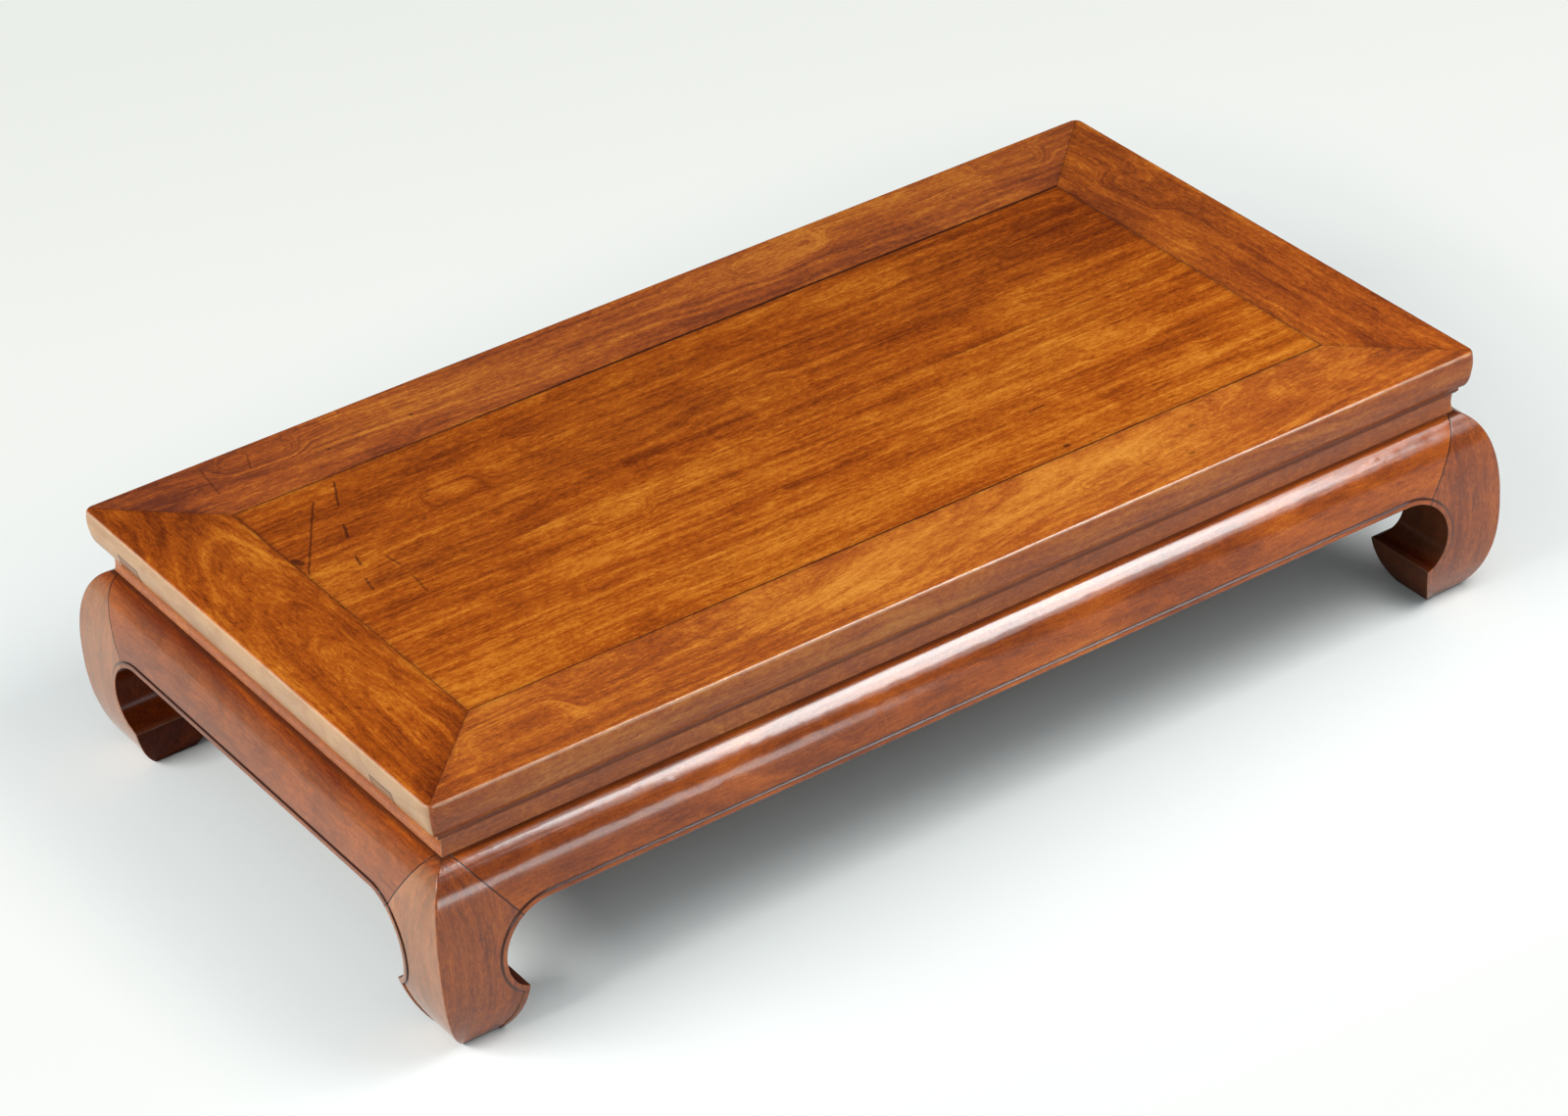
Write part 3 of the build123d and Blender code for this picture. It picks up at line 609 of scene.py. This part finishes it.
def wood(
    name, cut_name, seed, *, lines=(), top_of=None, grain=None, tone=0.0,
    moulded=False, faded=0.0, backed=False,
):
    """Waxed hardwood: grain, dirt and painted shade in the corners, worn edges, joint lines,
    relief and gloss, with a painted highlight on the top's arris and a painted sheen on the left.

    top_of names a solid of the top, whose marks it then has. grain and tone change the cut's
    own. moulded is for the frame's edge, faded is how much painted sheen the left side
    gets, and backed is for a piece whose inner faces show, which get painted shade.
    """
    material = bpy.data.materials.new(name)
    material.use_nodes = True
    tree = Tree(material.node_tree)
    place = Place(tree)
    cut = PLAIN | CUTS[cut_name]
    cut["grain"] = grain or cut["grain"]
    cut["tone"] += tone
    pattern = wood_pattern(place, cut, seed)

    shades = pattern["tone"]
    if top_of:
        shades = tree.math("ADD", shades, strokes(place, PATCHES, top_of, "ADD"))
    colour = tree.ramp(shades, *TONES)
    if cut["redder"]:
        colour = tree.mix(tree.ease(pattern["cloud"], 0.60, 0.42), colour, REDDER, "MULTIPLY")
    if cut["patina"]:
        tint, share = cut["patina"]
        colour = tree.mix(share, colour, tint)

    normal = tree.add("ShaderNodeNewGeometry").outputs["Normal"]
    facing = tree.separate(normal)
    gloss = 1.0
    if moulded:
        gloss = tree.ease(facing[2], 0.985, 0.85, 1.0, EDGE_GLOSS)
        colour = moulding(place, facing, colour)
    if faded:
        # The left side is paler: a painted sheen of the left lamp and the bright floor.
        leftward = tree.ease(facing[0], -0.55, -0.90, 0.0, faded)
        uneven = tree.ease(pattern["mottle"], 0.30, 0.62, 0.80, 1.05)
        colour = tree.mix(tree.product(leftward, uneven), colour, LEFT_SHEEN)
    if backed:
        # Behind the outer faces the wood was never polished; its colour is darkened there as
        # painted shade.
        behind = tree.ease(outwardness(place, facing), 0.40, 0.10)
        colour = tree.mix(behind, colour, INSIDE_SHADE, "MULTIPLY")
        gloss = tree.math("MULTIPLY_ADD", behind, UNPOLISHED_GLOSS - 1.0, 1.0)
    # Underneath, the wood is bare and dusty.
    colour = tree.mix(tree.ease(facing[2], -0.55, -0.80, 0.0, DUST_SHARE), colour, DUST)

    # End grain is darker.
    sizes = tree.separate(tree.vector("ABSOLUTE", normal))
    endward = sizes[GRAIN_ORDER[cut["grain"]][0]]
    colour = tree.mix(tree.ease(endward, 0.82, 0.97, 0.0, END_GRAIN_SHARE), colour, END_GRAIN)

    # Dirt, old wax and painted shade darken the inner corners, and dark lines mark the joints.
    corner = tree.add("ShaderNodeAmbientOcclusion", {"Distance": CORNER_REACH}, samples=4)
    dirt_and_shade = tree.ease(corner.outputs["AO"], 0.82, 0.35, 0.0, DIRT_AND_SHADE_SHARE)
    dark = [draw(place) for draw in lines]
    if top_of:
        dark.append(strokes(place, SCRATCHES, top_of, "MAXIMUM"))
    dark_lines = tree.largest(0.0, *dark)

    # Arrises are paler: every sharp edge of the parts below from wear, and the top's outer arris
    # from wear and a painted highlight.
    rub = place.noise(90.0, detail=3.0)
    if top_of:
        smooth = normal
        wear_and_highlight = tree.product(
            tree.ease(place.nearer, 0.0026, 0.0012),
            tree.ease(place.z, TOP - 0.0026, TOP - 0.0010),
            tree.ease(rub, 0.30, 0.72, 0.26, 0.46),
        )
    else:
        bevel = tree.add("ShaderNodeBevel", {"Radius": ARRIS_RADIUS}, samples=4)
        smooth = bevel.outputs["Normal"]
        wear_and_highlight = tree.product(
            tree.ease(tree.vector("DOT_PRODUCT", smooth, normal), 0.985, 0.90),
            tree.ease(rub, 0.30, 0.70, 0.16, 0.30),
            tree.math("SUBTRACT", 1.0, dark_lines, clamp=True),
        )
    colour = tree.mix(wear_and_highlight, colour, WORN_AND_HIGHLIGHT)
    colour = tree.mix(dirt_and_shade, colour, GRIME_AND_SHADE)
    colour = tree.mix(tree.product(dark_lines, DARK_LINE_SHARE), colour, GRIME_AND_SHADE)

    relief = tree.sum(
        0.5,
        (pattern["fibre"], 0.5, 0.8),
        (pattern["pores"], 0.0, -0.9),
        (pattern["mottle"], 0.5, 0.5),
        (dark_lines, 0.0, -1.5),
    )
    rough = tree.sum(WAX_ROUGHNESS, (pattern["cloud"], 0.5, 0.06), (pattern["pores"], 0.0, 0.03))
    rough = tree.math("MULTIPLY_ADD", dirt_and_shade, 0.3, rough, clamp=True)

    def bumped(strength):
        inputs = {"Strength": strength, "Distance": BUMP_DEPTH, "Height": relief}
        return tree.add("ShaderNodeBump", inputs | {"Normal": smooth}).outputs["Normal"]

    shader = tree.add(
        "ShaderNodeBsdfPrincipled",
        {
            "Base Color": colour,
            "Roughness": WOOD_ROUGHNESS,
            "Normal": bumped(WOOD_BUMP),
            "Specular IOR Level": 0.0,
            "Coat Weight": gloss,
            "Coat Roughness": rough,
            "Coat IOR": cut["gloss"],
            "Coat Normal": bumped(WAX_BUMP),
        },
    )
    tree.add("ShaderNodeOutputMaterial", {"Surface": shader.outputs[0]})
    return material


def assign(node, material):
    """Give a solid one material in every slot."""
    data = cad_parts[node].data
    if not data.materials:
        data.materials.append(material)
    for index in range(len(data.materials)):
        data.materials[index] = material


def dress(node, cut_name, seed, **looks):
    """Give a solid its own plank."""
    assign(node, wood(node, cut_name, seed, **looks))


for seed, side in enumerate(("front", "back", "left", "right")):
    # The aprons at the ends are darker; on the left one this also paints the shade under the
    # top's overhang.
    run, darker = ("Y", -0.18) if side in ("left", "right") else ("X", 0.0)
    rail = f"top_rail_{side}"
    rail_looks = dict(lines=TOP_LINES, top_of=rail, moulded=True, faded=0.62)
    apron_looks = dict(lines=BASE_LINES, grain=run, tone=darker, faded=0.09, backed=True)
    dress(rail, f"rail_{side}", 1.0 + seed, **rail_looks)
    dress(f"waist_{side}", "waist", 11.0 + seed, grain=run, faded=0.08)
    dress(f"apron_{side}", "apron", 21.0 + seed, **apron_looks)

for seed, side in enumerate(("front", "back")):
    board = f"panel_board_{side}"
    dress(board, f"board_{side}", 31.0 + seed, lines=(frame_lines,), top_of=board)

for seed, corner in enumerate(("front_left", "front_right", "back_left", "back_right")):
    dress(f"leg_{corner}", "leg", 41.0 + seed, lines=BASE_LINES, faded=0.25, backed=True)

hidden_across = wood("hidden_across", "hidden", 51.0, grain="Y")
hidden_upright = wood("hidden_upright", "hidden", 52.0, grain="Z")
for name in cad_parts:
    if name.startswith("batten"):
        assign(name, hidden_across)
    if name.startswith("apron_key"):
        assign(name, hidden_upright)

# ---------------------------------------------------------------- floor
FLOOR_HALF = 20.0
PAPER_NEAR = linear(238, 240, 236)
PAPER_FRONT, PAPER_BACK = linear(253, 255, 252), linear(229, 233, 227)
# Distances from the table's footprint between which the paper turns from lit to glowing, and
# how much it glows at the nearer one.
GLOW_START, GLOW_FULL, GLOW_LEAST = 0.08, 0.44, 0.020

floor_mesh = bpy.data.meshes.new("floor")
corners = [(-1, -1), (1, -1), (1, 1), (-1, 1)]
points = [(x * FLOOR_HALF, y * FLOOR_HALF, 0.0) for x, y in corners]
floor_mesh.from_pydata(points, [], [(0, 1, 2, 3)])
floor = bpy.data.objects.new("floor", floor_mesh)
bpy.context.scene.collection.objects.link(floor)

paper = bpy.data.materials.new("paper")
paper.use_nodes = True
tree = Tree(paper.node_tree)
place = Place(tree)
# Beyond the table's shadows the paper glows evenly, and sooner on the left.
left_sooner = tree.ease(place.x, -0.3, 0.3, -2.0, -1.0)
away = tree.combine(
    tree.largest(tree.product(place.from_end, left_sooner), 0.0),
    tree.largest(tree.product(place.from_side, -1.0), 0.0),
    0.0,
)
# Even by the table the paper glows a little: painted light over the table's shadow.
far_off = tree.ease(tree.vector("LENGTH", away), GLOW_START, GLOW_FULL, GLOW_LEAST, 1.0)
rays = tree.add("ShaderNodeLightPath").outputs
seen = tree.math("ADD", rays["Is Camera Ray"], rays["Is Glossy Ray"])
seen = tree.math("ADD", seen, rays["Is Transmission Ray"], clamp=True)
near = tree.add("ShaderNodeBsdfDiffuse", {"Color": PAPER_NEAR}).outputs[0]
# The paper is darkest towards the back, as in the photograph.
backward = tree.vector("DOT_PRODUCT", place.position, (0.34, 1.0, 0.0))
glow_colour = tree.mix(tree.ease(backward, -1.0, 2.4), PAPER_FRONT, PAPER_BACK)
glow = tree.add("ShaderNodeEmission", {"Color": glow_colour, "Strength": 1.0}).outputs[0]
factor = tree.product(far_off, seen)
surface = tree.add("ShaderNodeMixShader", {0: factor, 1: near, 2: glow}).outputs[0]
tree.add("ShaderNodeOutputMaterial", {"Surface": surface})
floor_mesh.materials.append(paper)

# ---------------------------------------------------------------- light
TABLE = Vector((0.0, 0.0, 0.12))
MIRRORED_TINT = (0.86, 1.0, 1.03)


def lamp(name, place, aim, width, height, radiance, turn=0.0, only_mirrored=False):
    """Soft box given by its size (m) and by the radiance of its face, where 1 is white. It
    faces its aim, turned by some degrees in plan."""
    data = bpy.data.lights.new(name, "AREA")
    data.shape = "RECTANGLE"
    data.size = width
    data.size_y = height
    data.energy = radiance * math.pi * width * height
    made = bpy.data.objects.new(name, data)
    made.location = place
    made.rotation_euler = (Vector(aim) - Vector(place)).to_track_quat("-Z", "Y").to_euler()
    made.rotation_euler.z += math.radians(turn)
    made.visible_camera = False
    if only_mirrored:
        made.visible_diffuse = False
        data.color = MIRRORED_TINT
    bpy.context.scene.collection.objects.link(made)


def around(azimuth, elevation, distance):
    """A point seen from the table at this azimuth from +X and this elevation (degrees)."""
    turn, rise = math.radians(azimuth), math.radians(elevation)
    level = math.cos(rise)
    way = Vector((level * math.cos(turn), level * math.sin(turn), math.sin(rise)))
    return TABLE + way * distance


# A large window at the right front, in three parts, and a lower one on the left.
for name, x, y, width, height, radiance in (
    ("key_right", 1.0, -0.765, 0.80, 0.77, 8.0),
    ("wing_right", 0.375, -0.865, 0.45, 0.97, 3.6),
    ("skirt_right", 0.965, -1.585, 0.97, 0.93, 3.2),
):
    lamp(name, (x, y, 1.5), (x, y, 0.0), width, height, radiance)
lamp("key_left", around(178, 32.5, 2.4), TABLE, 1.55, 0.62, 14.7)
# Panels that are only mirrored in the wax: the bright part of the window and its soft foot,
# which lie slantwise, and a low one that shows along the apron's left end.
for name, x, y, width, height, radiance in (
    ("gleam", 1.00, -1.38, 1.80, 0.86, 16.5),
    ("gleam_foot", 1.72, -2.62, 1.10, 0.90, 5.0),
):
    lamp(name, (x, y, 1.51), (x, y, 0.0), width, height, radiance, -60, only_mirrored=True)
low_place, low_aim = (0.75, -3.00, 0.22), (0.0, 0.0, 0.22)
lamp("gleam_low", low_place, low_aim, 1.00, 0.42, 7.0, only_mirrored=True)

world = bpy.data.worlds.new("studio")
world.use_nodes = True
bpy.context.scene.world = world
tree = Tree(world.node_tree)
direction = tree.add("ShaderNodeTexCoord").outputs["Generated"]
# The room behind the table, which the top would mirror, is dark.
ROOM, DARK_ROOM = (0.40, 0.475, 0.53, 1.0), (0.02, 0.022, 0.025, 1.0)
behind = tree.vector("DOT_PRODUCT", direction, (0.50, 0.67, 0.54))
sky = tree.mix(tree.ease(behind, 0.35, 0.85), ROOM, DARK_ROOM)
# The wax mirrors a dimmer room than the one that lights the wood.
mirrored = tree.add("ShaderNodeLightPath").outputs["Is Glossy Ray"]
strength = tree.math("MULTIPLY_ADD", mirrored, -0.6, 1.0)
air = tree.add("ShaderNodeBackground", {"Color": sky, "Strength": strength})
tree.add("ShaderNodeOutputWorld", {"Surface": air.outputs[0]})

# ---------------------------------------------------------------- camera
CAMERA_PLACE = (-1.675284, -2.677512, 2.108112)
AZIMUTH, ELEVATION, ROLL = 0.5567164, 0.5682395, -0.080296
LENS, SENSOR_WIDTH = 119.243, 36.0
forward = Vector(
    (
        math.sin(AZIMUTH) * math.cos(ELEVATION),
        math.cos(AZIMUTH) * math.cos(ELEVATION),
        -math.sin(ELEVATION),
    )
)
level = Vector((math.cos(AZIMUTH), -math.sin(AZIMUTH), 0.0))
upright = level.cross(forward)
right = math.cos(ROLL) * level + math.sin(ROLL) * upright
up = -math.sin(ROLL) * level + math.cos(ROLL) * upright
camera_data = bpy.data.cameras.new("camera")
camera_data.sensor_width = SENSOR_WIDTH
camera_data.lens = LENS
camera_data.clip_end = 100.0
camera = bpy.data.objects.new("camera", camera_data)
turned = Matrix((right, up, -forward)).transposed().to_4x4()
camera.matrix_world = Matrix.Translation(CAMERA_PLACE) @ turned
bpy.context.scene.collection.objects.link(camera)
bpy.context.scene.camera = camera
bpy.context.scene.view_settings.view_transform = "Standard"
